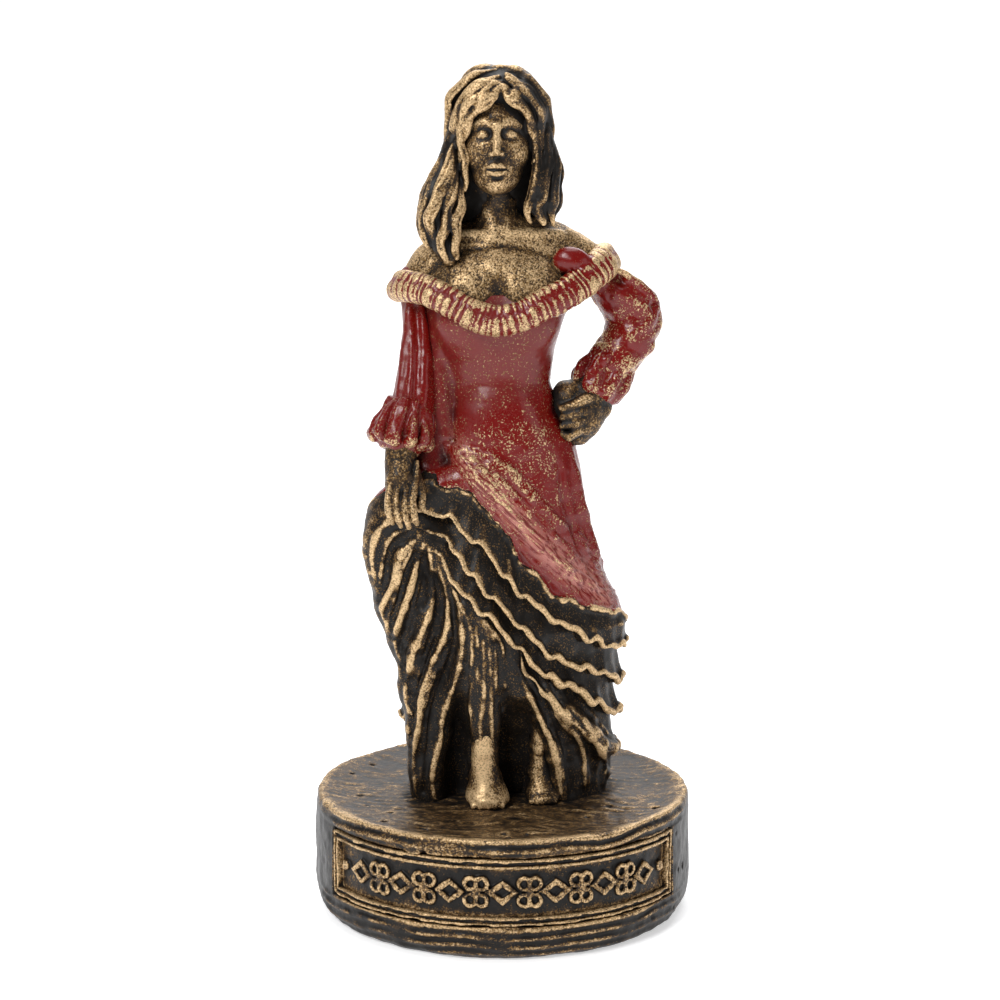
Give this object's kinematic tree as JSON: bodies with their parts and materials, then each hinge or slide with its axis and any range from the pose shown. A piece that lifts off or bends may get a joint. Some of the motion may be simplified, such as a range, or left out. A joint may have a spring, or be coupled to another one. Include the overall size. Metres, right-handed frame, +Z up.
{
  "type": "souvenir figurine",
  "caption": "Small painted resin figurine of a standing dancer in a frilled red gown, one hand on the hip, on a round plinth with a plain ornamental plaque.",
  "frame": {"origin": "middle of the plinth's flat underside", "axes": "+Z up through the figure; -Y is the front, the way the figure faces, so its right hand is at -X"},
  "size_m": [0.0544, 0.0544, 0.12],
  "materials": {
    "antique_black": "cast resin painted black-brown and dry-brushed with old gold on the raised edges",
    "old_gold": "cast resin, black ground with old gold rubbed on the raised edges",
    "skin_bronze": "cast resin, grainy old gold over black",
    "hair_bronze": "cast resin, black with gold on the ridges of the strands",
    "gown_red": "cast resin with glossy deep red enamel and a fine gold speckle",
    "frill_red_gold": "cast resin, red enamel with old gold rubbed over the ribs"
  },
  "bodies": {
    "root": {"plinth": "antique_black", "plaque_frame": "old_gold", "plaque_field": "old_gold", "right_leg": "skin_bronze", "left_leg": "skin_bronze", "underskirt": "antique_black", "ruffle_tier_1": "antique_black", "ruffle_tier_2": "antique_black", "ruffle_tier_3": "antique_black", "ruffle_tier_4": "antique_black", "ruffle_tier_5": "antique_black", "skirt_drape": "antique_black", "gown": "gown_red", "bust": "skin_bronze", "neckline_frill": "frill_red_gold", "right_sleeve": "gown_red", "right_cuff": "frill_red_gold", "right_hand": "skin_bronze", "left_upper_sleeve": "gown_red", "left_lower_sleeve": "gown_red", "left_cuff": "frill_red_gold", "left_hand": "skin_bronze", "head": "skin_bronze", "hair_crown": "hair_bronze", "hair_lock_right": "hair_bronze", "hair_lock_left": "hair_bronze"}
  },
  "joints": []
}
